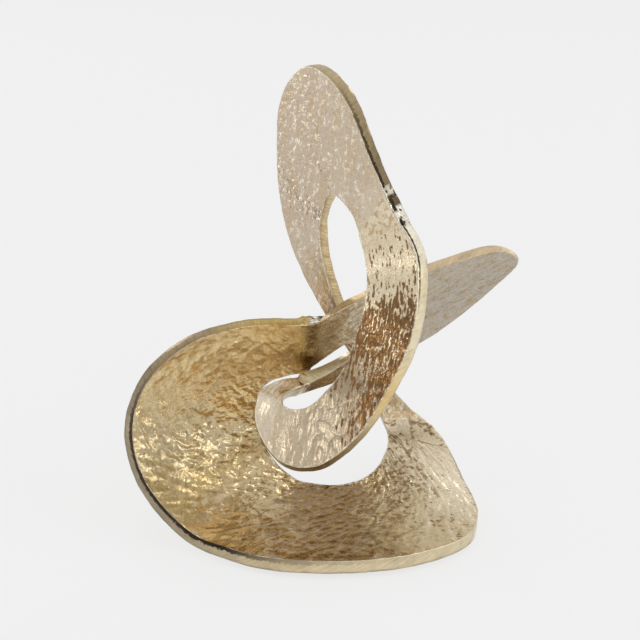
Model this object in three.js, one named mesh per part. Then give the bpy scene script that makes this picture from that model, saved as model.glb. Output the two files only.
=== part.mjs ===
// Loop sculpture: one endless band of thick cast plate that loops through itself and stands on
// its own dished foot. Four plates are welded end to end. Millimetres, +Z up, seen from -Y.
import * as THREE from 'three';

// Driving dimensions
const BAND_WIDTH = 231; // left side of the dish to the tip of the wing
const BAND_DEPTH = 151; // front of the foot to the back of the upright plate
const BAND_HEIGHT = 256; // face of the foot to the top of the upright plate
const PLATE_THICKNESS = 9.5;
const EDGE_EASE = 0.8; // small bevel ground along every plate edge
const WELD_LENGTH = 6; // metal between two plate ends, along the band
const WELD_CROWN = 0.8; // how far a ground weld stands proud of the plates
const CLEARANCE = 0.3; // air between pieces that touch on the real object
const PAD_DIAMETER = 12;
const PAD_HEIGHT = 2;

// The band is drawn as ribs laid across it from edge to edge, each a left and a right point as
// one walks along the hammered face. Heights are measured from the top face of the foot. The
// ribs give its proportions, and are stretched to the width, depth and height above.
const DISH_RIBS = [
  [[-10, 16, 68], [-4, 13, 102]], // weld to the wing's upper arm
  [[-21, 13, 67], [-45, -2, 107]],
  [[-32, 9, 64], [-77, -19, 103]],
  [[-36, 8, 59], [-103, -33, 83]],
  [[-38, 10, 43], [-111, -46, 59]], // left side, where the band leans over most
  [[-36, 11, 30], [-103, -58, 31]],
  [[-28, 15, 11], [-75, -68, 2]], // the rim comes down to the table
  [[-12, 8, 0], [-35, -92, 0]],
  [[9, 3, 0], [8, -98, 0]], // front of the foot
  [[24, 9, 0], [52, -90, 0]],
  [[34, 17, 4], [87, -66, 0]], // rounded corner of the foot
  [[39, 25, 8], [96, -36, 0]],
  [[42, 32, 15], [89, 5, 4]],
  [[41, 36, 23], [74, 36, 21]], // weld to the upright plate
];
const UPRIGHT_RIBS = [
  [[33, 41, 39], [49, 42, 41]],
  [[19, 40, 69], [32, 37, 71]], // arm, behind the ribbon
  [[3, 34, 99], [13, 28, 103]], // arm, behind the wing
  [[-13, 38, 130], [3, 28, 133]],
  [[-23, 45, 159], [0, 29, 157]],
  [[-27, 53, 200], [2, 30, 170]],
  [[-23, 53, 237], [5, 27, 179]],
  [[-8, 43, 256], [8, 25, 180]], // top of the leaf and of its hole
  [[12, 21, 246], [14, 18, 177]],
  [[27, 6, 216], [19, 13, 171]],
  [[42, -5, 183], [24, 10, 157]], // weld to the ribbon
];
const FRONT_LOOP_RIBS = [
  [[56, -20, 160], [27, 3, 140]],
  [[57, -31, 139], [26, -7, 124]],
  [[53, -42, 115], [21, -17, 110]],
  [[39, -55, 88], [13, -32, 93]],
  [[21, -66, 63], [3, -42, 83]],
  [[-2, -71, 47], [-7, -46, 75]], // lowest part of the small loop
  [[-23, -67, 48], [-16, -45, 73]],
  [[-38, -48, 63], [-22, -38, 73]], // hairpin at the left end
  [[-36, -30, 77], [-21, -28, 74]],
  [[-24, -14, 78], [-16, -17, 72]],
  [[-11, -1, 74], [-9, -8, 71]], // tapered end, welded to the wing's lower arm
];
const WING_RIBS = [
  [[-9, -8, 71], [-12, -4, 63]], // weld to the small loop, turned a quarter
  [[7, 2, 76], [7, 4, 66]],
  [[24, 8, 86], [26, 9, 72]],
  [[44, 11, 99], [52, 12, 84]],
  [[51, 12, 104], [75, 13, 99]],
  [[57, 13, 108], [104, 15, 124]],
  [[59, 13, 112], [120, 17, 142]], // tip
  [[56, 13, 112], [112, 17, 148]],
  [[44, 12, 107], [82, 13, 143]],
  [[29, 12, 98], [49, 10, 131]],
  [[17, 12, 90], [25, 9, 120]],
  [[5, 13, 81], [10, 9, 112]],
  DISH_RIBS[0],
];

// Pads: which rib of the dish each one sits under, and how far from the left edge to the right
const PAD_PLACES = [
  [7.3, 0.09],
  [7.3, 0.88],
  [8.8, 0.88],
  [8.8, 0.09],
];

// Mesh fineness
const STEPS_PER_RIB = 5;
const FACE_STEPS = 4;
const WELD_RINGS = 6;
const WELD_SIDE_STEPS = 4;
const PAD_SIDES = 24;

const GOLD = { color: 0xc8b083, roughness: 0.34, metalness: 1 };
const PALE_GOLD = { color: 0xd6c7a6, roughness: 0.28, metalness: 1 };
const FELT = { color: 0x4a4038, roughness: 1, metalness: 0 };

function bandStretch(ribs) {
  const span = (axis) => {
    const places = ribs.flat().map((point) => point[axis]);
    return Math.max(...places) - Math.min(...places);
  };
  return new THREE.Vector3(BAND_WIDTH / span(0), BAND_DEPTH / span(1), BAND_HEIGHT / span(2));
}

const STRETCH = bandStretch([...DISH_RIBS, ...UPRIGHT_RIBS, ...FRONT_LOOP_RIBS, ...WING_RIBS]);

// A smooth ruled surface through ribs, with its hammered face on the side of normal()
class Band {
  constructor(ribs) {
    this.last = ribs.length - 1;
    const edge = (side) => {
      const points = ribs.map((rib) => new THREE.Vector3(...rib[side]).multiply(STRETCH));
      return new THREE.CatmullRomCurve3(points, false, 'centripetal');
    };
    this.edges = [edge(0), edge(1)];
  }

  // Nothing hangs below the foot: its face is ground flat at height 0
  edgePoint(side, rib) {
    const point = this.edges[side].getPoint(rib / this.last);
    point.z = Math.max(point.z, 0);
    return point;
  }

  edgeHeading(side, rib) {
    const step = 0.02;
    const before = this.edgePoint(side, Math.max(rib - step, 0));
    const after = this.edgePoint(side, Math.min(rib + step, this.last));
    return after.sub(before).normalize();
  }

  normal(rib, across) {
    const toLeft = this.edgePoint(0, rib).sub(this.edgePoint(1, rib));
    const left = this.edgeHeading(0, rib).cross(toLeft).normalize();
    const right = this.edgeHeading(1, rib).cross(toLeft).normalize();
    return left.lerp(right, across).normalize();
  }

  width(rib) {
    return this.edgePoint(0, rib).distanceTo(this.edgePoint(1, rib));
  }

  // A point of the plate: across from 0 at the left edge to 1 at the right, depth below the face
  point(rib, across, depth) {
    const onFace = this.edgePoint(0, rib).lerp(this.edgePoint(1, rib), across);
    return onFace.addScaledVector(this.normal(rib, across), -depth);
  }

  // The rib value found by walking a length along the middle of the band
  walk(fromRib, length, direction) {
    const step = 0.01 * direction;
    let rib = fromRib;
    let walked = 0;
    while (walked < length) {
      const here = this.point(rib, 0.5, 0);
      rib += step;
      walked += here.distanceTo(this.point(rib, 0.5, 0));
    }
    return rib;
  }
}

// A closed body from rings of points that all have the same count, ring after ring
function loft(rings) {
  const count = rings[0].length;
  const points = rings.flat();
  const index = [];
  for (let ring = 0; ring < rings.length - 1; ring += 1) {
    for (let i = 0; i < count; i += 1) {
      const a = ring * count + i;
      const b = ring * count + ((i + 1) % count);
      index.push(a, b, b + count, a, b + count, a + count);
    }
  }
  const close = (firstPoint, ring, flip) => {
    const centre = points.length;
    const middle = new THREE.Vector3();
    ring.forEach((point) => middle.addScaledVector(point, 1 / count));
    points.push(middle);
    for (let i = 0; i < count; i += 1) {
      const a = firstPoint + i;
      const b = firstPoint + ((i + 1) % count);
      index.push(centre, flip ? b : a, flip ? a : b);
    }
  };
  close(0, rings[0], true);
  close((rings.length - 1) * count, rings[rings.length - 1], false);
  const geometry = new THREE.BufferGeometry();
  geometry.setFromPoints(points);
  geometry.setIndex(index);
  geometry.computeVertexNormals();
  return geometry;
}

// One plate's outline at a rib: face, right edge, underside and left edge, with eased corners
function plateRing(band, rib) {
  const ease = Math.min(EDGE_EASE, PLATE_THICKNESS / 3);
  const inset = ease / band.width(rib);
  const ring = [];
  const row = (depth) => {
    for (let i = 0; i <= FACE_STEPS; i += 1) {
      const across = inset + (1 - 2 * inset) * (i / FACE_STEPS);
      ring.push(band.point(rib, depth === 0 ? across : 1 - across, depth));
    }
  };
  row(0);
  ring.push(band.point(rib, 1, ease), band.point(rib, 1, PLATE_THICKNESS - ease));
  row(PLATE_THICKNESS);
  ring.push(band.point(rib, 0, PLATE_THICKNESS - ease), band.point(rib, 0, ease));
  return ring;
}

function plate(band, firstRib, lastRib) {
  const start = band.walk(firstRib, WELD_LENGTH / 2, 1);
  const end = band.walk(lastRib, WELD_LENGTH / 2, -1);
  const steps = (lastRib - firstRib) * STEPS_PER_RIB;
  const rings = [];
  for (let i = 0; i <= steps; i += 1) {
    rings.push(plateRing(band, start + (end - start) * (i / steps)));
  }
  return { band, start, end, geometry: loft(rings) };
}

// The four corners of a plate's end, moved off it by the clearance
function endCorners(piece, atStart) {
  const { band } = piece;
  const rib = atStart ? piece.start : piece.end;
  const outward = band.walk(rib, CLEARANCE, atStart ? -1 : 1);
  return [
    band.point(outward, 0, 0),
    band.point(outward, 1, 0),
    band.point(outward, 1, PLATE_THICKNESS),
    band.point(outward, 0, PLATE_THICKNESS),
  ];
}

// A weld fills the gap from one plate end to the next and swells a little in between
function weld(fromCorners, toCorners) {
  const rings = [];
  for (let i = 0; i <= WELD_RINGS; i += 1) {
    const share = i / WELD_RINGS;
    const corners = fromCorners.map((corner, c) => corner.clone().lerp(toCorners[c], share));
    const middle = new THREE.Vector3();
    corners.forEach((corner) => middle.addScaledVector(corner, 1 / corners.length));
    const ring = [];
    corners.forEach((corner, c) => {
      const next = corners[(c + 1) % corners.length];
      for (let s = 0; s < WELD_SIDE_STEPS; s += 1) {
        const point = corner.clone().lerp(next, s / WELD_SIDE_STEPS);
        const outward = point.clone().sub(middle).normalize();
        ring.push(point.addScaledVector(outward, WELD_CROWN * Math.sin(Math.PI * share)));
      }
    });
    rings.push(ring);
  }
  return loft(rings);
}

function mesh(name, geometry, look) {
  const piece = new THREE.Mesh(geometry, new THREE.MeshStandardMaterial(look));
  piece.name = name;
  return piece;
}

// Three plates share one band, so their edges run on smoothly through the welds between them
const mainBand = new Band([...DISH_RIBS, ...UPRIGHT_RIBS, ...FRONT_LOOP_RIBS]);
const wingBand = new Band(WING_RIBS);
const dishEnd = DISH_RIBS.length - 1;
const uprightEnd = dishEnd + UPRIGHT_RIBS.length;
const dish = plate(mainBand, 0, dishEnd);
const upright = plate(mainBand, dishEnd, uprightEnd);
const frontLoop = plate(mainBand, uprightEnd, mainBand.last);
const wing = plate(wingBand, 0, wingBand.last);

const metalwork = new THREE.Group();
metalwork.add(
  mesh('dish_plate', dish.geometry, GOLD),
  mesh('upright_plate', upright.geometry, GOLD),
  mesh('front_loop_plate', frontLoop.geometry, GOLD),
  mesh('wing_plate', wing.geometry, GOLD),
);

// The small loop's tapered end is square, and the wing's arm meets it turned by a quarter
const wingArmEnd = endCorners(wing, true);
const quarterTurned = [3, 0, 1, 2].map((corner) => wingArmEnd[corner]);
metalwork.add(
  mesh('weld_dish_upright', weld(endCorners(dish, false), endCorners(upright, true)), PALE_GOLD),
  mesh('weld_upright_loop', weld(endCorners(upright, false), endCorners(frontLoop, true)), PALE_GOLD),
  mesh('weld_loop_wing', weld(endCorners(frontLoop, false), quarterTurned), PALE_GOLD),
  mesh('weld_dish_wing', weld(endCorners(wing, false), endCorners(dish, true)), PALE_GOLD),
);
metalwork.position.z = PAD_HEIGHT + CLEARANCE + PLATE_THICKNESS;

function feltPad(number, rib, across) {
  const radius = PAD_DIAMETER / 2;
  const disc = new THREE.CylinderGeometry(radius, radius, PAD_HEIGHT, PAD_SIDES).rotateX(Math.PI / 2);
  const pad = mesh(`felt_pad_${number}`, disc, FELT);
  pad.position.copy(mainBand.point(rib, across, 0)).setZ(PAD_HEIGHT / 2);
  return pad;
}

// The part stands with the middle of its footprint at the origin
const sculpture = new THREE.Group();
sculpture.add(metalwork);
PAD_PLACES.forEach(([rib, across], i) => sculpture.add(feltPad(i + 1, rib, across)));
const middle = new THREE.Box3().setFromObject(sculpture).getCenter(new THREE.Vector3());
sculpture.position.set(-middle.x, -middle.y, 0);

export default sculpture;
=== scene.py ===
import math

import bmesh
import bpy
import numpy as np
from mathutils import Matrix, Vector


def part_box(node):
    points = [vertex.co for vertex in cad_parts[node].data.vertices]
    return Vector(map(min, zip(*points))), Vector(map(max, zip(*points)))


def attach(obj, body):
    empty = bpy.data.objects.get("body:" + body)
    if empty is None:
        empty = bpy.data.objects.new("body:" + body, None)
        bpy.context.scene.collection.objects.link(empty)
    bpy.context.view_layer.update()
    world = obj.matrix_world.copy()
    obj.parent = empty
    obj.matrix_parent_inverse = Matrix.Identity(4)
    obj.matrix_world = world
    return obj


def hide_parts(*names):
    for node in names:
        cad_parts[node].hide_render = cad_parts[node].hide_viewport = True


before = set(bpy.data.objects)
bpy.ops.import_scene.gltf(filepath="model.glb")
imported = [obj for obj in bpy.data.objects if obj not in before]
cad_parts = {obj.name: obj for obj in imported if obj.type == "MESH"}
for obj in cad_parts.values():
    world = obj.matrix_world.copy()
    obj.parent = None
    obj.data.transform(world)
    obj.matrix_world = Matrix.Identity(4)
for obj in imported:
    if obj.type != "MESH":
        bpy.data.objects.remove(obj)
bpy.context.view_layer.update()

# Sizes, in metres
MM = 0.001
SAME_POINT = 0.001 * MM   # corners of the solid model nearer than this are one
EDGE_EASE = 0.8 * MM      # bevel on the solid plates
EDGE_ROUND = 0.7 * MM     # rounded arris on the finished plates
WALL_CROWN = 0.3 * MM     # how far a wall swells between its two arrises
LINE_DEPTH = 1.7 * MM     # depth of the dark line painted under the hammered face as shade
LAP_STEP = 0.4 * MM       # between the rings of a weld where it laps over a plate
PAD_RADIUS = 6 * MM
PAD_HEIGHT = 2 * MM
PAD_ROUND = 0.35 * MM     # soft edge of a felt pad

# A plate in the solid model: its points round a ring, and the upper and lower point of each wall
RING_POINTS = 14
FACE_POINTS = 5
ARRISES = 4
RIGHT_POINTS = (5, 6)
LEFT_POINTS = (13, 12)

# The parts of the path round a finished plate, in order
FACE, RIGHT_ARRIS, RIGHT_WALL, RIGHT_FOOT, UNDERSIDE, LEFT_FOOT, LEFT_WALL, LEFT_ARRIS = range(8)

# How finely the pieces are made
LENGTH_STEPS = 800        # for measuring a plate along its middle
CORNER_STEPS = 3
WALL_PLACES = (0, 0.07, 0.14, 0.25, 0.45, 0.72, 1)
WELD_WALL_PLACES = np.linspace(0, 1, 15)
WELD_GAP_RINGS = 9
WELD_SIDE_STEPS = 22
FEWEST_LAPS = 6
PAD_SIDES = 48
PAD_RINGS = 8
PAD_TURN_STEPS = 5
PAD_FLAT = (0.05, 0.9)    # the rings of a pad's flat faces, as shares of its radius

# Hammering and welding
SLANT = math.sqrt(0.5)    # the dish is hammered at 45 degrees to its length
MOST_CLOSER = 3.0         # how much its marks may draw together on the inside of the bend
BACK_APART = 0.5          # keeps the pattern on a plate's back apart from the one on its face
SHALLOW_BOWL = 0.3        # the shallowest hammer mark, as a share of the deepest
BOWL_STEEP = 1.6          # how soon a mark rises to its rim
FOLD_STEEP = 0.65         # the same for a fold
CRUST_RISE = (0.32, 0.68)  # where on its pattern the crust starts, and where it is deepest
EDGE_RISE = (0.36, 0.64)  # the same for the uneven cut edges
WALL_CALM = 0.9           # how far the marks fade on a wall
GROUND_MARKS = 0.08       # what the grinder left of them at a plate's ends
WELD_MARKS = 0.25         # and on a weld
WELD_SINK = 0.25          # how far a weld's feathered ends sink in, in millimetres
WELD_FACE_RUGGED = 0.15   # how lumpy a weld is on its face, where 1 is its wall
LUMP_LEVEL = 0.6          # lumps above this stand proud of the weld, and the rest are hollows
LUMP_HOLLOW = (0.7, 0.3)  # from a crest to the bottom of a hollow
RIPPLE_STRAY = 0.5        # how far the lumps push the ripples aside
TURN_PLACES = (0.4, 0.6)  # where along a weld a face turns into a wall

# Where each plate starts, and the way its hammered face looks there
PLATE_STARTS = {
    "dish_plate": ((-0.009, 0.032, 0.097), (0, -1, 0)),
    "upright_plate": ((0.056, 0.054, 0.034), (0, -1, 0)),
    "front_loop_plate": ((0.031, 0.020, 0.182), (-1, -1, 0)),
    "wing_plate": ((-0.012, 0.012, 0.079), (0.6, -0.7, -0.5)),
}


def colour(red, green, blue):
    """A colour as a screen shows it, 0 to 255, turned to the linear light that a shader takes."""
    shares = [part / 255 for part in (red, green, blue)]
    return tuple(s / 12.92 if s < 0.04045 else ((s + 0.055) / 1.055) ** 2.4 for s in shares) + (1.0,)


def grey(level):
    return (level, level, level, 1.0)


def unit(vectors):
    return vectors / np.linalg.norm(vectors, axis=-1, keepdims=True)


def blend_rows(first, second, share):
    return first[:, None] * (1 - share[..., None]) + second[:, None] * share[..., None]


def ease_in(values, low, high):
    """0 below low, 1 above high and a smooth rise between."""
    share = np.clip((values - low) / (high - low), 0, 1)
    return share * share * (3 - 2 * share)


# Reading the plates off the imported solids

def ordered_ring(cap):
    """The points round a plate's end, in the order in which the plate was lofted."""
    following = {}
    for face in cap.link_faces:
        corners = [loop.vert for loop in face.loops]
        at = corners.index(cap)
        following[corners[(at + 2) % 3]] = corners[(at + 1) % 3]
    ring = [next(iter(following))]
    while len(ring) < len(following):
        ring.append(following[ring[-1]])
    return ring


def face_first(ring, shown):
    """The same ring, turned so that it starts at the left edge of the hammered face."""
    count = len(ring)
    lengths = [(ring[i].co - ring[i - 1].co).length for i in range(count)]
    arrises = sorted(range(count), key=lambda i: lengths[i])[:ARRISES]
    middle = sum((v.co for v in ring), Vector()) / count
    best = None
    for first in arrises:
        if (first + FACE_POINTS) % count not in arrises:
            continue
        row = [ring[(first + step) % count].co for step in range(FACE_POINTS)]
        lift = (sum(row, Vector()) / FACE_POINTS - middle).dot(Vector(shown))
        if best is None or lift > best[0]:
            best = (lift, first)
    first = best[1]
    return ring[first:] + ring[:first]


def read_rings(node):
    """All the rings of a plate, from its start to its end, as an array of points."""
    start, shown = PLATE_STARTS[node]
    solid = bmesh.new()
    solid.from_mesh(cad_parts[node].data)
    bmesh.ops.remove_doubles(solid, verts=solid.verts, dist=SAME_POINT)
    caps = [v for v in solid.verts if len(v.link_edges) == RING_POINTS]
    cap = min(caps, key=lambda v: (v.co - Vector(start)).length)
    ring = face_first(ordered_ring(cap), shown)
    behind = {cap}
    rings = []
    while len(set(ring)) > 1:
        rings.append([tuple(v.co) for v in ring])
        behind.update(ring)
        ahead = [{edge.other_vert(v) for edge in v.link_edges} - behind for v in ring]
        ring = [(ahead[i - 1] & ahead[i]).pop() for i in range(RING_POINTS)]
    solid.free()
    return np.array(rings)


def along_rows(rows, places):
    """Rows read at places from 0 to 1 along them, on a smooth curve through them all."""
    last = len(rows) - 1
    at = np.clip(places, 0, 1) * last
    i = np.minimum(at.astype(int), last - 1)
    t = (at - i)[:, None]
    before, here = rows[np.maximum(i - 1, 0)], rows[i]
    there, after = rows[i + 1], rows[np.minimum(i + 2, last)]
    bend = 2 * before - 5 * here + 4 * there - after
    twist = 3 * here - before - 3 * there + after
    return here + 0.5 * t * (there - before + t * (bend + t * twist))


class Outline:
    """The path round a plate: over its face, down its right wall, under it and up its left wall."""

    def __init__(self, face_steps, under_steps, wall_places, thickness):
        turn = np.linspace(0, math.pi / 2, CORNER_STEPS + 2)[1:-1]
        out = WALL_CROWN + EDGE_ROUND * (1 - np.sin(turn))
        drop = EDGE_ROUND * (1 - np.cos(turn))
        down = np.array(wall_places)
        walls = EDGE_ROUND + (thickness - 2 * EDGE_ROUND) * down
        fall = WALL_CROWN * (2 * down - 1) ** 2
        face = np.linspace(0, 1, face_steps + 1)
        under = np.linspace(1, 0, under_steps + 1)
        lip = EDGE_ROUND + WALL_CROWN
        none = np.zeros
        parts = [
            (face, lip * (1 - 2 * face), none(len(face))),
            (none(len(turn)) + 1, -out, drop),
            (none(len(walls)) + 1, -fall, walls),
            (none(len(turn)) + 1, -out[::-1], thickness - drop[::-1]),
            (under, lip * (1 - 2 * under), none(len(under)) + thickness),
            (none(len(turn)), out, thickness - drop),
            (none(len(walls)), fall[::-1], walls[::-1]),
            (none(len(turn)), out[::-1], drop[::-1]),
        ]
        self.share = np.concatenate([p[0] for p in parts])
        self.inset = np.concatenate([p[1] for p in parts])
        self.depth = np.concatenate([p[2] for p in parts])
        self.part = np.concatenate([np.full(len(p[0]), number) for number, p in enumerate(parts)])

    def masks(self, line_width):
        """What each point of the path lies on, for the finish."""
        flat = np.isin(self.part, (FACE, UNDERSIDE))
        walls = np.isin(self.part, (RIGHT_WALL, LEFT_WALL))
        line = np.exp(-((self.depth - LINE_DEPTH) / line_width) ** 2)
        face_edge = (self.part == FACE) & np.isin(self.share, (0, 1))
        return {
            "wall": np.select([walls, flat], [1.0, 0.0], 0.5),
            "right_side": np.isin(self.part, (RIGHT_ARRIS, RIGHT_WALL, RIGHT_FOOT)) * 1.0,
            "rim": (np.isin(self.part, (RIGHT_ARRIS, LEFT_ARRIS)) | face_edge) * 1.0,
            "shade_line": np.where(flat, 0.0, line),
            "wall_depth": self.depth,
        }


class Plate:
    """One cast plate as a smooth surface between its left and right edges."""

    def __init__(self, node):
        rings = read_rings(node)
        left_top, left_foot = (rings[:, point] for point in LEFT_POINTS)
        right_top, right_foot = (rings[:, point] for point in RIGHT_POINTS)
        self.left_up = unit(left_top - left_foot)
        self.right_up = unit(right_top - right_foot)
        self.left = left_top + self.left_up * EDGE_EASE
        self.right = right_top + self.right_up * EDGE_EASE
        wall = np.linalg.norm(right_top - right_foot, axis=1).mean()
        self.thickness = wall + 2 * EDGE_EASE
        fine = np.linspace(0, 1, LENGTH_STEPS)
        middle = 0.5 * (along_rows(self.left, fine) + along_rows(self.right, fine))
        run = np.linalg.norm(np.diff(middle, axis=0), axis=1)
        self.length = run.sum()
        self._fine = fine
        self._run = np.concatenate([[0], np.cumsum(run)])

    def places(self, runs):
        """Places along the plate for lengths walked along its middle."""
        return np.interp(runs, self._run, self._fine)

    def rings(self, runs, outline):
        """Points (ring, point, xyz), their places across the plate, and its width at each ring."""
        places = self.places(runs)
        left, right = along_rows(self.left, places), along_rows(self.right, places)
        width = np.linalg.norm(right - left, axis=1)[:, None]
        across = (width * outline.share + outline.inset) / width
        up = unit(blend_rows(along_rows(self.left_up, places), along_rows(self.right_up, places), across))
        points = blend_rows(left, right, across) - up * outline.depth[None, :, None]
        return points, across, width


# Meshes

def loft(name, points):
    """A closed mesh from rings of points, with a fan over each end."""
    rings, count = points.shape[:2]
    at = np.arange(rings * count).reshape(rings, count)
    ahead = np.roll(at, -1, axis=1)
    quads = np.stack([at[:-1], ahead[:-1], ahead[1:], at[1:]], axis=-1).reshape(-1, 4)
    first, last = rings * count, rings * count + 1
    faces = [tuple(q) for q in quads.tolist()]
    faces += [(first, b, a) for a, b in zip(at[0].tolist(), ahead[0].tolist())]
    faces += [(last, a, b) for a, b in zip(at[-1].tolist(), ahead[-1].tolist())]
    ends = np.stack([points[0].mean(axis=0), points[-1].mean(axis=0)])
    mesh = bpy.data.meshes.new(name)
    mesh.from_pydata(np.concatenate([points.reshape(-1, 3), ends]).tolist(), [], faces)
    mesh.shade_smooth()
    return mesh


def note(mesh, name, values):
    """Stores one value or vector for each point of a lofted mesh; both ends take the nearest ring's mean."""
    values = np.asarray(values, dtype=float)
    flat = values.reshape(-1, *values.shape[2:])
    flat = np.concatenate([flat, values[:1].mean(axis=1), values[-1:].mean(axis=1)])
    kind = "FLOAT" if flat.ndim == 1 else "FLOAT_VECTOR"
    stored = mesh.attributes.new(name, kind, "POINT")
    stored.data.foreach_set("value" if flat.ndim == 1 else "vector", flat.ravel())


def note_all(mesh, notes, shape):
    """Stores every note, each spread over all the points where it is the same along or round the mesh."""
    for name, values in notes.items():
        whole = shape + np.shape(values)[2:]
        note(mesh, name, np.broadcast_to(values, whole))


def piece(name, mesh):
    made = bpy.data.objects.new(name, mesh)
    bpy.context.scene.collection.objects.link(made)
    return made


# Node trees

class Wiring:
    """Adds nodes to a tree, one call each, and joins them up."""

    def __init__(self, tree):
        self.tree = tree

    def node(self, kind, inputs=None, **settings):
        made = self.tree.nodes.new(kind)
        for setting, value in settings.items():
            setattr(made, setting, value)
        for socket, value in (inputs or {}).items():
            self.feed(made.inputs[socket], value)
        return made

    def feed(self, socket, value):
        if isinstance(value, bpy.types.NodeSocket):
            self.tree.links.new(value, socket)
        else:
            socket.default_value = value

    def math(self, operation, first, second=0.0, third=0.0):
        inputs = {0: first, 1: second, 2: third}
        return self.node("ShaderNodeMath", inputs, operation=operation).outputs[0]

    def product(self, *values):
        total = values[0]
        for value in values[1:]:
            total = self.math("MULTIPLY", total, value)
        return total

    def total(self, *values):
        result = values[0]
        for value in values[1:]:
            result = self.math("ADD", result, value)
        return result

    def vector(self, operation, first, second):
        inputs = {0: first, 1: second}
        return self.node("ShaderNodeVectorMath", inputs, operation=operation).outputs[0]

    def scaled(self, vector, scale):
        inputs = {0: vector, "Scale": scale}
        return self.node("ShaderNodeVectorMath", inputs, operation="SCALE").outputs[0]

    def xyz(self, x, y=0.0, z=0.0):
        return self.node("ShaderNodeCombineXYZ", {0: x, 1: y, 2: z}).outputs[0]

    def stretch(self, vector, along, across):
        """The places of a pattern whose marks are so long and so wide."""
        return self.vector("DIVIDE", vector, self.xyz(along, across, across))

    def stretch_mm(self, vector, size):
        return self.stretch(vector, size[0] * MM, size[1] * MM)

    def rise(self, value, low, high, bottom=0.0, top=1.0):
        inputs = {0: value, 1: low, 2: high, 3: bottom, 4: top}
        return self.node("ShaderNodeMapRange", inputs, interpolation_type="SMOOTHSTEP").outputs[0]

    def noise(self, vector, scale=1.0, detail=2.0, roughness=0.5, output="Fac"):
        inputs = {"Vector": vector, "Scale": scale, "Detail": detail, "Roughness": roughness}
        return self.node("ShaderNodeTexNoise", inputs).outputs[output]

    def about_zero(self, noise):
        return self.total(noise, -0.5)

    def ridges(self, vector, detail):
        """Sharp crests from about 0.2 to 1.6 high."""
        inputs = {"Vector": vector, "Scale": 1.0, "Detail": detail, "Offset": 1.0, "Gain": 1.0}
        settings = {"noise_type": "RIDGED_MULTIFRACTAL", "normalize": False}
        return self.node("ShaderNodeTexNoise", inputs, **settings).outputs[0]

    def cells(self, vector):
        return self.node("ShaderNodeTexVoronoi", {"Vector": vector, "Scale": 1.0}, feature="F1")

    def mix(self, share, first, second, blend="MIX"):
        inputs = {0: share, 6: first, 7: second}
        made = self.node("ShaderNodeMix", inputs, data_type="RGBA", blend_type=blend)
        return made.outputs[2]

    def ramp(self, share, stops):
        made = self.node("ShaderNodeValToRGB", {0: share})
        elements = made.color_ramp.elements
        while len(elements) < len(stops):
            elements.new(0.5)
        for element, (place, shade) in zip(elements, stops):
            element.position = place
            element.color = shade
        return made.outputs[0]


def new_tree(name, sizes):
    """An empty geometry tree with named inputs, ready to wire: the wiring, its inputs and its output."""
    tree = bpy.data.node_groups.new(name, "GeometryNodeTree")
    tree.interface.new_socket("Geometry", in_out="INPUT", socket_type="NodeSocketGeometry")
    for size in sizes:
        tree.interface.new_socket(size, in_out="INPUT", socket_type="NodeSocketFloat")
    tree.interface.new_socket("Metal", in_out="INPUT", socket_type="NodeSocketMaterial")
    tree.interface.new_socket("Geometry", in_out="OUTPUT", socket_type="NodeSocketGeometry")
    wires = Wiring(tree)
    given = wires.node("NodeGroupInput").outputs
    return wires, given, wires.node("NodeGroupOutput").inputs[0]


def attribute(wires, name, kind="FLOAT"):
    return wires.node("GeometryNodeInputNamedAttribute", {"Name": name}, data_type=kind).outputs[0]


def finish_tree(wires, geometry, metal, output):
    """Every tree ends the same way: real faces, one material."""
    real = wires.node("GeometryNodeRealizeInstances", {"Geometry": geometry}).outputs[0]
    dressed = wires.node("GeometryNodeSetMaterial", {"Geometry": real, "Material": metal}).outputs[0]
    wires.feed(output, dressed)
    return wires.tree


def push_out(wires, geometry, height):
    """Moves the surface along its own normal: outwards by height, or inwards where that is below 0."""
    normal = wires.node("GeometryNodeInputNormal").outputs[0]
    offset = wires.scaled(normal, height)
    return wires.node("GeometryNodeSetPosition", {"Geometry": geometry, "Offset": offset}).outputs[0]


def keep_value(wires, geometry, name, value):
    inputs = {"Geometry": geometry, "Name": name, "Value": value}
    kept = wires.node("GeometryNodeStoreNamedAttribute", inputs, data_type="FLOAT", domain="POINT")
    return kept.outputs[0]


HAMMER_SIZES = (
    "Dent Length", "Dent Width", "Dent Depth", "Dimple Size", "Dimple Depth",
    "Fold Length", "Fold Width", "Fold Depth", "Crust Size", "Crust Depth",
    "Swell Size", "Swell Depth", "Edge Run", "Edge Depth", "Seed",
)


def bowl(wires, cell):
    """A round hollow in each cell, some deep and some shallow."""
    spread = wires.math("POWER", cell.outputs["Distance"], 2.0)
    shape = wires.math("SUBTRACT", 1.0, wires.math("MINIMUM", wires.product(spread, BOWL_STEEP), 1.0))
    lot = wires.node("ShaderNodeSeparateXYZ", {0: cell.outputs["Color"]}).outputs[0]
    return wires.product(shape, wires.total(wires.product(lot, 1 - SHALLOW_BOWL), SHALLOW_BOWL))


def strayed(wires, run, scale, reach):
    """A run of the pattern bent aside here and there, so that it doesn't look ruled."""
    stray = wires.vector("SUBTRACT", wires.noise(run, scale, output="Color"), (0.5, 0.5, 0.5))
    return wires.vector("ADD", run, wires.scaled(stray, reach))


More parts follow.
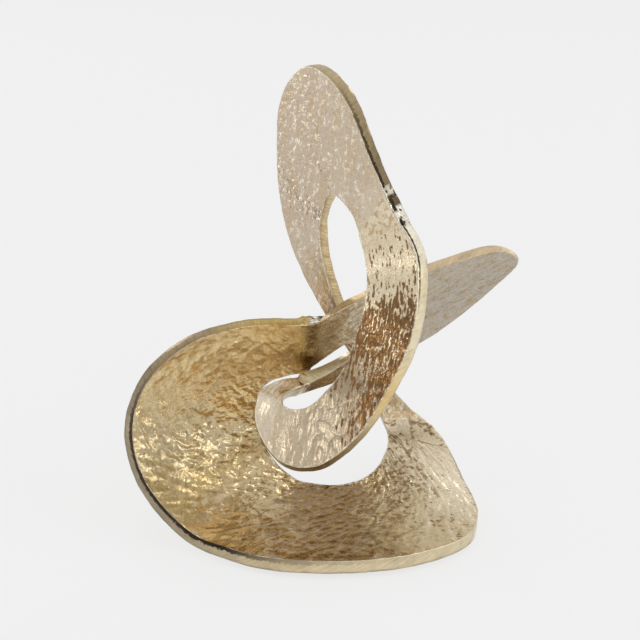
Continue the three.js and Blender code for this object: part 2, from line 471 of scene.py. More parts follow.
def hammer_tree():
    """A plate's marks, all inwards: dents, dimples, folds, crust, a slow swell and uneven cut edges."""
    wires, given, output = new_tree("hammer_marks", HAMMER_SIZES)
    spread = attribute(wires, "hammer_run", "FLOAT_VECTOR")
    place = wires.node("GeometryNodeInputPosition").outputs[0]
    lot = wires.xyz(given["Seed"], given["Seed"])

    def sized(run, length, width):
        return wires.stretch(run, given[length], given[width])

    def drawn(run, length, width):
        return wires.vector("ADD", sized(run, length, width), lot)

    dent_run = drawn(spread, "Dent Length", "Dent Width")
    dents = bowl(wires, wires.cells(strayed(wires, dent_run, scale=0.7, reach=0.9)))
    dimples = bowl(wires, wires.cells(drawn(place, "Dimple Size", "Dimple Size")))
    fold_run = drawn(spread, "Fold Length", "Fold Width")
    crests = wires.ridges(strayed(wires, fold_run, scale=0.8, reach=0.6), detail=1.6)
    folds = wires.math("SUBTRACT", 1.0, wires.math("MINIMUM", wires.product(crests, FOLD_STEEP), 1.0))
    crust = wires.noise(drawn(place, "Crust Size", "Crust Size"), detail=3.0, roughness=0.6)
    crust = wires.rise(crust, *CRUST_RISE)
    swell = wires.noise(sized(place, "Swell Size", "Swell Size"), detail=1.0)
    uneven = wires.rise(wires.noise(sized(place, "Edge Run", "Edge Run")), *EDGE_RISE)

    crust_depth = wires.product(crust, given["Crust Depth"])
    sharp = wires.total(wires.product(folds, given["Fold Depth"]), crust_depth)
    hollow = wires.math("DIVIDE", sharp, wires.total(given["Fold Depth"], given["Crust Depth"]))
    geometry = keep_value(wires, given["Geometry"], "hollow", hollow)
    soft = wires.product(dents, given["Dent Depth"], attribute(wires, "dented"))
    sharp = wires.total(sharp, wires.product(dimples, given["Dimple Depth"]))
    sharp = wires.product(sharp, attribute(wires, "crisp"))
    depth = wires.total(soft, sharp, wires.product(swell, given["Swell Depth"]))
    edge = wires.product(uneven, attribute(wires, "cut_edge"), given["Edge Depth"])
    depth = wires.total(wires.product(depth, attribute(wires, "struck")), edge)
    geometry = push_out(wires, geometry, wires.product(depth, -1.0))
    return finish_tree(wires, geometry, given["Metal"], output)


WELD_SIZES = ("Crown", "Sink", "Bead", "Ripple Run", "Ripple Depth", "Lump Size", "Lump Depth", "Seed")


def weld_tree():
    """A ground weld: a low crown over the seam, with ripples along it and lumps left by the grinder."""
    wires, given, output = new_tree("ground_weld", WELD_SIZES)
    crown = attribute(wires, "crown")
    rugged = attribute(wires, "rugged")
    seam = attribute(wires, "seam_run")
    place = wires.node("GeometryNodeInputPosition").outputs[0]
    lump_run = wires.stretch(place, given["Lump Size"], given["Lump Size"])
    lumps = wires.noise(wires.vector("ADD", lump_run, wires.xyz(given["Seed"])))
    turn = wires.total(wires.math("DIVIDE", seam, given["Ripple Run"]), wires.product(lumps, RIPPLE_STRAY))
    ripple = wires.math("SINE", wires.product(turn, 2 * math.pi))
    rise = wires.total(
        given["Crown"],
        wires.product(rugged, given["Bead"]),
        wires.product(ripple, rugged, given["Ripple Depth"]),
        wires.product(wires.total(lumps, -LUMP_LEVEL), rugged, given["Lump Depth"]),
    )
    geometry = keep_value(wires, given["Geometry"], "hollow", wires.rise(lumps, *LUMP_HOLLOW))
    lift = wires.math("SUBTRACT", wires.product(crown, rise), given["Sink"])
    geometry = push_out(wires, geometry, lift)
    return finish_tree(wires, geometry, given["Metal"], output)


PAD_FUZZ = {"Fuzz Size": 0.9 * MM, "Fuzz Depth": 0.12 * MM}


def pad_tree(places):
    """The felt disc put at each of its places, with an uneven cut face."""
    wires, given, output = new_tree("felt_discs", PAD_FUZZ)
    spots = wires.node("GeometryNodeObjectInfo", {"Object": places}).outputs["Geometry"]
    discs = wires.node("GeometryNodeInstanceOnPoints", {"Points": spots, "Instance": given["Geometry"]})
    real = wires.node("GeometryNodeRealizeInstances", {"Geometry": discs.outputs[0]}).outputs[0]
    spot = wires.node("GeometryNodeInputPosition").outputs[0]
    fuzz = wires.noise(wires.stretch(spot, given["Fuzz Size"], given["Fuzz Size"]), detail=3.0)
    depth = wires.product(fuzz, given["Fuzz Depth"], -1.0)
    return finish_tree(wires, push_out(wires, real, depth), given["Metal"], output)


def run_tree(made, tree, sizes, metal):
    """Runs a tree on a piece and leaves the piece as a plain mesh."""
    modifier = made.modifiers.new(tree.name, "NODES")
    modifier.node_group = tree
    for item in tree.interface.items_tree:
        if item.in_out == "INPUT" and item.name in sizes:
            modifier[item.identifier] = float(sizes[item.name])
        if item.in_out == "INPUT" and item.name == "Metal":
            modifier[item.identifier] = metal
    graph = bpy.context.evaluated_depsgraph_get()
    graph.update()
    result = bpy.data.meshes.new_from_object(
        made.evaluated_get(graph), preserve_all_data_layers=True, depsgraph=graph)
    made.modifiers.clear()
    made.data = result
    result.shade_smooth()
    return made


# Metal and felt

# Painted shade: the dark line under a face's arris and the dark in the crevices of the welds
PAINTED_SHADE_LINE = colour(46, 37, 24)
PIT_BROWN = colour(70, 50, 26)
# Painted highlight: a pale colour put along the arrises and on the crests of the hammered face, as if lit
PAINTED_HIGHLIGHT = colour(247, 238, 218)
PIT_SIZE = (5, 2.2)       # length and width, in millimetres
PIT_SHADE = 0.85          # how dark the pits are
TONE_DRIFT = 0.14         # how far the tones stray along a plate
POOL_PULL = 0.6           # how much a pool of lacquer draws the blots together
SANDING_SLANT = 0.18      # lean of the sanding lines on a wall
SANDING_LENGTH = 0.06     # their width over their length
RAGGED_REACH = 2.4        # how ragged the painted shade line under the face is
LACQUER_SATIN = 0.12      # roughness of the clear lacquer
SPECK_SATIN = 0.4         # how much rougher the metal is at its specks
STAIN_GLOSS = 0.06        # how much smoother it is under lacquer
LINE_SATIN = 0.25         # how much rougher it is along the sanding lines
SKIN_BUMP = 0.55          # strength of the fine skin in the light
FELT_DARK = colour(54, 45, 38)
FELT_LIGHT = colour(96, 84, 72)
FELT_PATCH = colour(70, 58, 48)
FELT_PATCHY = 0.4
FELT_BUMP = 0.8
FELT_PILE = 0.2 * MM
FELT_ROUGH = (0.85, 1.0)
FELT_SHEEN = 0.4
WALL_PATCHY = 0.2         # how much darker the patches on a wall are
LINES_EDGE = (0.3, 0.68)  # the dark and the light of the sanding lines, on their pattern
LINES_LIGHT = 1.1         # how much lighter than the wall they get
LEAST_RIM_LIGHT = 0.1          # the least painted highlight along an arris
FINE_SKIN = 0.5           # height of the finest skin, as a share of the specks

# Where a look comes in on the pattern that it follows: none at the first number, all at the second
SMEARED = (0.48, 0.62)
SPECKLED = (0.42, 0.7)
TOWARDS_LEFT = (0.75, 0.15)
BLOTTED = (0.88, 0.97)
POOLED = (0.0, 0.06)
HAMMERED = (0.02, 0.1)
CRESTED = (0.42, 0.2)
CREST_SPECKS = (0.42, 0.58)
CREST_HAMMERED = (0.3, 0.8)
PITTED = (0.67, 0.71)
PIT_POOLED = (0.05, 0.3)
PATCHED = (0.4, 0.75)
LINED = (0.35, 0.65)
CREVICED = (0.62, 0.78)
CREASED = (0.1, 0.6)
SANDED = (0.3, 0.8)
RIM_LIT_RISE = (-0.1, 0.1)
MATTED = (0.2, 0.8)

# How fine the patterns are, as repeats in a metre
CLOUDS = 45.0
WALL_PATCHES = 110.0
FELT_PATCHES = 300.0
LACQUER_POOLS = 420.0
RAGS = 480.0
SPECKS = 700.0
SKIN = 1500.0
FIBRES = 1800.0


def fresh_wires(owner):
    """The emptied node tree of a material or a world, ready to wire."""
    owner.use_nodes = True
    owner.node_tree.nodes.clear()
    return Wiring(owner.node_tree)


def start_material(name):
    made = bpy.data.materials.new(name)
    wires = fresh_wires(made)
    shader = wires.node("ShaderNodeBsdfPrincipled")
    output = wires.node("ShaderNodeOutputMaterial")
    wires.feed(output.inputs[0], shader.outputs[0])
    return made, wires, shader


def read(wires, name):
    return wires.node("ShaderNodeAttribute", attribute_name=name).outputs["Fac"]


def shades(stops):
    return [(place, colour(*shade)) for place, shade in stops]


def amounts(stops):
    return [(place, grey(amount)) for place, amount in stops]


def hammer_run(wires):
    return wires.node("ShaderNodeAttribute", attribute_name="hammer_run").outputs["Vector"]


def face_tone(wires, run, drift, speck, finish):
    """The bare hammered face: a tone that changes along the plate, smears and dark specks."""
    # The tones along a plate are partly its own colour and partly painted reflection: darker and browner
    # where the face mirrors the dark room or the piece's own shaded parts, paler where it mirrors the
    # bright.
    face = wires.ramp(drift, shades(finish["tones"]))
    smears = wires.noise(wires.stretch_mm(run, finish["smear_size"]), detail=4.0, roughness=0.6)
    smeared = wires.rise(smears, *SMEARED, top=finish["smear"])
    face = wires.mix(smeared, face, colour(*finish["smear_tone"]))
    return wires.mix(wires.rise(speck, *SPECKLED, top=finish["speckle"]), face, PIT_BROWN)


def lacquer_amount(wires, drift, finish):
    """How much lacquer was left at each place along the plate, and how much more towards its left edge."""
    towards_left = wires.rise(read(wires, "across"), *TOWARDS_LEFT)
    inner = wires.product(towards_left, wires.ramp(drift, amounts(finish["inner_lacquer"])))
    return wires.total(wires.ramp(drift, amounts(finish["lacquer"])), inner)


def lacquer_stain(wires, place, run, hollow, struck, pools, finish):
    """Where lacquer shows: in blots that keep to the hollows, wiped off the crests and the ground ends."""
    blots_at = place if finish["level_blots"] else run
    blots = wires.noise(wires.stretch_mm(blots_at, finish["blots"]), detail=5.0, roughness=0.7)
    reach = wires.total(
        blots, wires.product(hollow, finish["hollow_pull"]), wires.product(pools, POOL_PULL))
    return wires.product(
        wires.rise(reach, *BLOTTED), wires.rise(hollow, *finish["wiped_crests"]), wires.rise(pools, *POOLED),
        wires.rise(struck, *HAMMERED), finish["depth_of_stain"])


def stained_face(wires, place, finish):
    """The whole hammered face: its tone, painted glints on the crests, brown lacquer and pits."""
    run = hammer_run(wires)
    hollow = read(wires, "hollow")
    struck = read(wires, "struck")
    cloud = wires.about_zero(wires.noise(place, CLOUDS, detail=3.0))
    drift = wires.total(read(wires, "along"), wires.product(cloud, TONE_DRIFT))
    speck = wires.noise(place, SPECKS, detail=3.0, roughness=0.65)
    pools = lacquer_amount(wires, drift, finish)
    stain = lacquer_stain(wires, place, run, hollow, struck, pools, finish)

    face = face_tone(wires, run, drift, speck, finish)
    # Painted glints: the pale highlight colour put on the crests of the marks
    crests = wires.product(
        wires.rise(hollow, *CRESTED), wires.rise(speck, *CREST_SPECKS), wires.rise(struck, *CREST_HAMMERED))
    face = wires.mix(wires.product(crests, finish["crest_glints"]), face, PAINTED_HIGHLIGHT)
    thick = wires.noise(place, LACQUER_POOLS, detail=4.0, roughness=0.7)
    face = wires.mix(stain, face, wires.ramp(thick, shades(finish["brown"])))
    pits = wires.noise(wires.stretch_mm(run, PIT_SIZE), detail=3.0, roughness=0.6)
    pits = wires.product(wires.rise(pits, *PITTED), wires.rise(pools, *PIT_POOLED), PIT_SHADE)
    return wires.mix(pits, face, PIT_BROWN), stain, speck


def brushed_wall(wires, place, finish):
    """The sanded wall: a tone for each side, lines across it, and painted shade: a dark line under the face
    and dark in the weld's crevices.
    """
    along = read(wires, "along")
    side = read(wires, "right_side")

    def by_side(left, right):
        return wires.mix(side, wires.ramp(along, left), wires.ramp(along, right))

    # The wall tones along a plate are partly painted reflection in the same way.
    tone = by_side(shades(finish["left_wall"]), shades(finish["right_wall"]))
    line = by_side(amounts(finish["left_line"]), amounts(finish["right_line"]))
    down = read(wires, "wall_depth")
    slant = wires.total(read(wires, "edge_run"), wires.product(down, SANDING_SLANT))
    lines_at = wires.xyz(slant, wires.product(down, SANDING_LENGTH))
    lines = wires.noise(lines_at, finish["wall_lines"], roughness=0.6)
    left_shade, right_shade = [
        wires.ramp(lines, amounts(zip(LINES_EDGE, (darkest, LINES_LIGHT))))
        for darkest in finish["line_shades"]]
    tone = wires.mix(1.0, tone, wires.mix(side, left_shade, right_shade), "MULTIPLY")
    patch = wires.noise(place, WALL_PATCHES, detail=3.0)
    tone = wires.mix(wires.rise(patch, *PATCHED, top=WALL_PATCHY), tone, PIT_BROWN)

    # Painted shade: a ragged dark line along the wall just under the face's arris
    rags = wires.about_zero(wires.noise(place, RAGS, detail=4.0, roughness=0.7))
    ragged = wires.product(rags, RAGGED_REACH)
    dark = wires.product(wires.rise(wires.total(read(wires, "shade_line"), ragged), *LINED), line)
    # Painted shade: dark in the deep hollows of the lumps on a wall
    crevice_dark = wires.product(
        wires.rise(read(wires, "hollow"), *CREVICED), wires.ramp(along, amounts(finish["crevice_shade"])))
    return wires.mix(wires.math("MAXIMUM", dark, crevice_dark), tone, PAINTED_SHADE_LINE), lines, ragged


def creased(wires, creases):
    """Fine creases in a face, too small for the mesh: their height in millimetres."""
    *size, depth = creases
    crease_run = wires.stretch_mm(hammer_run(wires), size)
    crests = wires.ridges(strayed(wires, crease_run, scale=0.8, reach=0.9), detail=2.0)
    return wires.product(crests, wires.rise(read(wires, "struck"), *CREASED), depth)


def plate_metal(name, finish):
    """Champagne-gold cast plate, hammered and lacquered on its faces and sanded on its walls."""
    made, wires, shader = start_material(name)
    place = wires.node("ShaderNodeTexCoord").outputs["Object"]
    wall = read(wires, "wall")
    face, stain, speck = stained_face(wires, place, finish)
    brushed, lines, ragged = brushed_wall(wires, place, finish)
    skin = wires.mix(wires.rise(wall, *SANDED), face, brushed)
    # Painted highlight along the arrises, ragged along their length
    rim_lit = wires.rise(ragged, *RIM_LIT_RISE, LEAST_RIM_LIGHT, finish["rim_highlight"])
    rim_lit = wires.product(read(wires, "rim"), rim_lit)
    wires.feed(shader.inputs["Base Color"], wires.mix(rim_lit, skin, PAINTED_HIGHLIGHT))
    shader.inputs["Metallic"].default_value = finish["metallic"]
    if finish["coat"]:
        wires.feed(shader.inputs["Coat Weight"], wires.product(stain, finish["coat"]))
    shader.inputs["Coat Roughness"].default_value = LACQUER_SATIN

    gloss = wires.ramp(read(wires, "along"), amounts(finish["satin"]))
    dulled = wires.product(wires.about_zero(speck), SPECK_SATIN)
    face_satin = wires.total(dulled, wires.product(stain, -STAIN_GLOSS), gloss)
    wall_satin = wires.total(wires.product(lines, LINE_SATIN), finish["wall_satin"])
    satin = wires.node("ShaderNodeMix", {0: wall, 2: face_satin, 3: wall_satin}).outputs[0]
    wires.feed(shader.inputs["Roughness"], satin)

    skin_height = wires.total(
        wires.product(speck, finish["grain"]),
        wires.product(wires.noise(place, SKIN), FINE_SKIN * finish["grain"]),
        creased(wires, finish["creases"]),
    )
    height = wires.node("ShaderNodeMix", {0: wall, 2: skin_height, 3: wires.product(lines, finish["grain"])})
    bump = wires.node("ShaderNodeBump", {"Strength": SKIN_BUMP, "Distance": MM, "Height": height.outputs[0]})
    wires.feed(shader.inputs["Normal"], bump.outputs[0])
    return made


def felt_cloth():
    """Brown felt: matted fibres, no shine."""
    made, wires, shader = start_material("brown_felt")
    place = wires.node("ShaderNodeTexCoord").outputs["Object"]
    fibres = wires.noise(place, FIBRES, detail=4.0, roughness=0.7)
    patches = wires.noise(place, FELT_PATCHES)
    cloth = wires.mix(fibres, FELT_DARK, FELT_LIGHT)
    cloth = wires.mix(wires.product(patches, FELT_PATCHY), cloth, FELT_PATCH)
    wires.feed(shader.inputs["Base Color"], cloth)
    wires.feed(shader.inputs["Roughness"], wires.rise(fibres, *MATTED, *FELT_ROUGH))
    shader.inputs["Sheen Weight"].default_value = FELT_SHEEN
    bump = wires.node("ShaderNodeBump", {"Strength": FELT_BUMP, "Distance": FELT_PILE, "Height": fibres})
    wires.feed(shader.inputs["Normal"], bump.outputs[0])
    return made


# The four plates

def grain_frame(points, grain, facing, side):
    """Places measured along the way a plate was hammered and across it, apart for its two faces."""
    along = unit(np.array(grain, dtype=float))
    across = unit(np.cross(np.array(facing, dtype=float), along))
    return np.stack([points @ along, points @ across, side], axis=-1)


def slanted_run(points, on_face, run, over, side):
    """Places along both slants of a band that bends sideways, drawn closer on the inside of the bend."""
    face_over = over[:, on_face]
    pace = np.linalg.norm(np.gradient(points[:, on_face], axis=0), axis=-1)
    middle_pace = pace[:, pace.shape[1] // 2, None]
    closer = np.clip(middle_pace / pace, 1 / MOST_CLOSER, MOST_CLOSER)
    face_step = np.gradient(face_over, axis=1)
    drawn = np.cumsum(closer * face_step, axis=1)
    drawn -= drawn[:, drawn.shape[1] // 2, None]
    over = np.stack([np.interp(*ring) for ring in zip(over, face_over, drawn)])
    return np.stack([(over - run) * SLANT, (over + run) * SLANT, side], axis=-1)


def follow(stops, places):
    """Amounts read off stops at places along a plate."""
    return np.interp(places, [stop[0] for stop in stops], [stop[1] for stop in stops])


def ground_ends(run, across, length, ground):
    """0 at a plate's ground ends, 1 where it is hammered. Each end is given at its left and right edge."""
    (start_left, start_right), (end_left, end_right) = ground
    from_start = ease_in(run / (start_left + (start_right - start_left) * across), 0, 1)
    from_end = ease_in((length - run) / (end_left + (end_right - end_left) * across), 0, 1)
    return from_start * from_end


def walked(points, axis):
    """How far each point lies along its row of points, from the start of the row."""
    steps = np.linalg.norm(np.diff(points, axis=axis), axis=-1)
    return np.insert(np.cumsum(steps, axis=axis), 0, 0, axis=axis)


def hammered_plate(name, node, steps, ground, sizes, finish, grain=None, facing=None):
    """A plate of the band with its hammered faces, in so many rings and steps over its face and its back.

    Without a grain it is hammered on the slant.
    """
    plate = plates[node]
    rings, face_steps, under_steps = steps
    outline = Outline(face_steps, under_steps, WALL_PLACES, plate.thickness)
    runs = np.linspace(0, plate.length, rings)
    points, across, width = plate.rings(runs, outline)
    mesh = loft(name, points)

    run = np.broadcast_to(runs[:, None], across.shape)
    along = run / plate.length
    back = np.isin(outline.part, (RIGHT_FOOT, UNDERSIDE, LEFT_FOOT))
    side = np.broadcast_to(back * BACK_APART, across.shape)
    if grain:
        pattern_run = grain_frame(points, grain, facing, side)
    else:
        pattern_run = slanted_run(points, outline.part == FACE, run, across * width, side)
    masks = outline.masks(finish["line_width"] * MM)
    smooth_end = ground_ends(run, np.clip(across, 0, 1), plate.length, ground)
    marked = GROUND_MARKS + (1 - GROUND_MARKS) * smooth_end
    notes = {
        **masks,
        "hammer_run": pattern_run,
        "along": along,
        "across": across,
        "crisp": follow(finish["crisp"], along),
        "dented": follow(finish["dented"], along),
        "struck": (1 - WALL_CALM * masks["wall"]) * marked,
        "cut_edge": masks["wall"] * smooth_end,
        "edge_run": walked(points, axis=0),
    }
    note_all(mesh, notes, across.shape)
    made = run_tree(piece(name, mesh), hammering, sizes, plate_metal(name + "_metal", finish))
    settle(made, "plate_metal", node)


# Welds

def weld_profile(runs, overlap, gap):
    """1 over the seam, 0 where the weld feathers out on the plates."""
    return 1 - ease_in(np.abs(runs), gap / 2, gap / 2 + overlap)


def weld_rings(first, second, overlap, outline, quarter):
    """Rings of points from plate to plate, how far each is from the middle of the gap, and the gap."""
    laps = np.linspace(overlap, 0, max(FEWEST_LAPS, int(overlap / LAP_STEP)))
    before, after = [
        plate.rings(plate.length - laps if at_end else laps, outline)[0]
        for plate, at_end in (first, second)]
    after = np.roll(after[::-1], quarter, axis=1)
    share = np.linspace(0, 1, WELD_GAP_RINGS + 2)[1:-1, None, None]
    bridge = before[-1] * (1 - share) + after[0] * share
    gap = np.linalg.norm(after[0].mean(axis=0) - before[-1].mean(axis=0))
    runs = np.concatenate([-laps - gap / 2, (share[:, 0, 0] - 0.5) * gap, laps[::-1] + gap / 2])
    return np.concatenate([before, bridge, after]), runs, gap


def ground_weld(name, node, first, second, overlap, sizes, finish, quarter_turn=False):
    """A weld from the end of one plate to the start, or end, of the next, lapping over both."""
    outline = Outline(WELD_SIDE_STEPS, WELD_SIDE_STEPS, WELD_WALL_PLACES, first[0].thickness)
    quarter = len(outline.part) // 4 if quarter_turn else 0
    points, runs, gap = weld_rings(first, second, overlap, outline, quarter)
    mesh = loft(name, points)
    along = (runs / (2 * overlap + gap) + 0.5)[:, None]
    turned = ease_in(along, *TURN_PLACES)
    masks = {mask: values * (1 - turned) + np.roll(values, quarter) * turned
             for mask, values in outline.masks(finish["line_width"] * MM).items()}
    notes = {
        **masks,
        "hammer_run": points,
        "along": along,
        "across": outline.share,
        "crown": weld_profile(runs, overlap, gap)[:, None],
        "rugged": WELD_FACE_RUGGED + (1 - WELD_FACE_RUGGED) * masks["wall"],
        "struck": WELD_MARKS,
        "seam_run": walked(points, axis=1),
        "edge_run": runs[:, None],
    }
    note_all(mesh, notes, points.shape[:2])
    made = run_tree(piece(name, mesh), welding, sizes, plate_metal(name + "_metal", finish))
    settle(made, "weld_metal", node)


# Felt pads

def felt_disc():
    """One felt disc standing on the origin, with softly cut edges."""
    turn = np.linspace(0, math.pi / 2, PAD_TURN_STEPS)
    flat = np.linspace(*PAD_FLAT, PAD_RINGS) * PAD_RADIUS
    side = PAD_RADIUS - PAD_ROUND
    reach = np.concatenate([
        flat, side + PAD_ROUND * np.sin(turn), side + PAD_ROUND * np.cos(turn), flat[::-1]])
    height = np.concatenate([
        np.zeros(PAD_RINGS), PAD_ROUND - PAD_ROUND * np.cos(turn),
        PAD_HEIGHT - PAD_ROUND + PAD_ROUND * np.sin(turn), np.full(PAD_RINGS, PAD_HEIGHT)])
    angle = np.linspace(0, 2 * math.pi, PAD_SIDES, endpoint=False)
    level = np.broadcast_to(height[:, None], (len(reach), PAD_SIDES))
    points = np.stack([reach[:, None] * np.cos(angle), reach[:, None] * np.sin(angle), level], axis=-1)
    return loft("felt_disc", points)


def felt_pads():
    """All four pads as one piece, each where its solid is."""
    pad_nodes = sorted(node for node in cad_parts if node.startswith("felt_pad"))
    spots = []
    for node in pad_nodes:
        low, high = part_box(node)
        spots.append(((low[0] + high[0]) / 2, (low[1] + high[1]) / 2, low[2]))
    mesh = bpy.data.meshes.new("pad_places")
    mesh.from_pydata(spots, [], [])
    places = piece("pad_places", mesh)
    pads = piece("felt_pads", felt_disc())
    run_tree(pads, pad_tree(places), PAD_FUZZ, felt_cloth())
    bpy.data.objects.remove(places)
    settle(pads, "felt", *pad_nodes)


def settle(made, slot, *nodes):
    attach(made, "root")
    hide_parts(*nodes)


# Studio

BACKGROUND = 0.863        # light of the pale background
FLOOR_GLOW = 0.746        # what lifts the lit floor to the background
FLOOR_GREY = 0.14
FLOOR_HALF = 6.0
ROOM_DARK = 0.28          # light of the room on the camera's side
BRIGHT_SIDE = (0.20, 0.75, 0.63)  # the way to the brightest part of the room
ROOM_TURN = (-0.6, 0.45)  # from the dark of the room to the bright
SKIRTING_SHADE = 0.55     # how much darker the room is low down behind the piece
SKIRTING_TOP = (0.3, 0.14)
SKIRTING_BACK = (0.35, 0.75)
WHITE = (1, 1, 1, 1)
CAMERA_PLACE = (-0.0018, -1.2056, 0.6167)
CAMERA_TILT = math.radians(68)
HALF_FRAME = 320          # half the picture's width, and the focal length, in pixels
FOCAL_LENGTH = 2200


def camera():
    lens = bpy.data.cameras.new("camera")
    lens.angle = 2 * math.atan(HALF_FRAME / FOCAL_LENGTH)
    made = piece("camera", lens)
    made.location = CAMERA_PLACE
    made.rotation_euler = (CAMERA_TILT, 0, 0)
    bpy.context.scene.camera = made


def seen_and_mirrored(wires):
    """1 for rays from the camera or through glass, and 1 for rays that metal sends on."""
    path = wires.node("ShaderNodeLightPath").outputs
    return wires.math("MAXIMUM", path["Is Camera Ray"], path["Is Transmission Ray"]), path["Is Glossy Ray"]


def floor():
    """A pale sheet that keeps a soft shadow."""
    mesh = bpy.data.meshes.new("floor")
    corners = [(x * FLOOR_HALF, y * FLOOR_HALF, 0) for x, y in ((-1, -1), (1, -1), (1, 1), (-1, 1))]
    mesh.from_pydata(corners, [], [(0, 1, 2, 3)])
    made = piece("floor", mesh)
    paper = bpy.data.materials.new("floor_paper")
    wires = fresh_wires(paper)
    seen, mirrored = seen_and_mirrored(wires)
    shown = wires.math("MAXIMUM", seen, mirrored)
    glow = wires.node("ShaderNodeEmission", {0: WHITE, 1: wires.product(shown, FLOOR_GLOW)})
    matt = wires.node("ShaderNodeBsdfDiffuse", {0: grey(FLOOR_GREY)})
    both = wires.node("ShaderNodeAddShader", {0: glow.outputs[0], 1: matt.outputs[0]})
    wires.feed(wires.node("ShaderNodeOutputMaterial").inputs[0], both.outputs[0])
    mesh.materials.append(paper)


def surroundings():
    """The pale background; metal sees it darker on the camera's side and low down behind the piece."""
    world = bpy.data.worlds.new("studio")
    wires = fresh_wires(world)
    way = wires.node("ShaderNodeTexCoord").outputs["Generated"]
    bright_side = wires.node("ShaderNodeVectorMath", {0: way, 1: BRIGHT_SIDE}, operation="DOT_PRODUCT")
    room = wires.rise(bright_side.outputs["Value"], *ROOM_TURN, ROOM_DARK, BACKGROUND)
    _, back, height = wires.node("ShaderNodeSeparateXYZ", {0: way}).outputs
    skirting = wires.product(
        wires.rise(height, *SKIRTING_TOP), wires.rise(back, *SKIRTING_BACK), SKIRTING_SHADE)
    room = wires.product(room, wires.math("SUBTRACT", 1.0, skirting))
    seen, mirrored = seen_and_mirrored(wires)
    shown = wires.math("MAXIMUM", seen, wires.product(mirrored, wires.rise(room, ROOM_DARK, BACKGROUND)))
    strength = wires.node("ShaderNodeMix", {0: shown, 2: room, 3: BACKGROUND}).outputs[0]
    light = wires.node("ShaderNodeBackground", {0: WHITE, 1: strength})
    wires.feed(wires.node("ShaderNodeOutputWorld").inputs[0], light.outputs[0])
    bpy.context.scene.world = world


def softbox(name, place, aim, size, watts, spread=180):
    """A soft lamp that points at aim: its size in metres, its power in watts and its spread in degrees."""
    light = bpy.data.lights.new(name, "AREA")
    light.shape = "RECTANGLE"
    light.size, light.size_y = size
    light.energy = watts
    light.spread = math.radians(spread)
    made = piece(name, light)
    made.location = place
    made.rotation_euler = (Vector(aim) - Vector(place)).to_track_quat("-Z", "Y").to_euler()
    made.visible_camera = False


camera()
floor()
surroundings()
softbox("key_light", (-1.0, -0.9, 1.6), (0, 0, 0.1), (0.3, 0.3), 0.85)
softbox("left_light", (-1.75, -0.45, 0.28), (0, 0, 0.15), (0.28, 0.22), 0.1, 60)
softbox("low_light", (-1.73, 0.36, 0.08), (0, 0, 0.15), (0.25, 0.12), 0.05, 60)
softbox("right_light", (1.6, -0.25, 0.5), (-0.05, 0, 0.08), (0.17, 0.24), 1.03)
softbox("fill_light", (1.4, -0.95, 1.1), (0, 0, 0.05), (0.8, 0.8), 3.6)
softbox("side_light", (-1.56, -0.05, 1.05), (0, 0, 0.15), (0.2, 0.2), 0.06, 60)
softbox("front_light", (0.35, -1.7, 0.7), (0, 0, 0.1), (0.5, 0.56), 0.34, 60)
softbox("top_light", (0, -0.1, 1.9), (0, 0, 0.1), (0.3, 0.3), 0.07, 60)
softbox("back_left_light", (-0.8, 1.7, 0.65), (0, 0, 0.1), (0.25, 0.25), 0.75, 90)
softbox("back_right_light", (0.9, 1.6, 0.8), (0, 0, 0.1), (0.25, 0.25), 0.45, 90)
bpy.context.scene.view_settings.view_transform = "Standard"

hammering = hammer_tree()
welding = weld_tree()
plates = {node: Plate(node) for node in PLATE_STARTS}

# Finishes: each list gives places along a plate, from 0 at its start to 1 at its end

def all_along(value):
    return [(0, value), (1, value)]


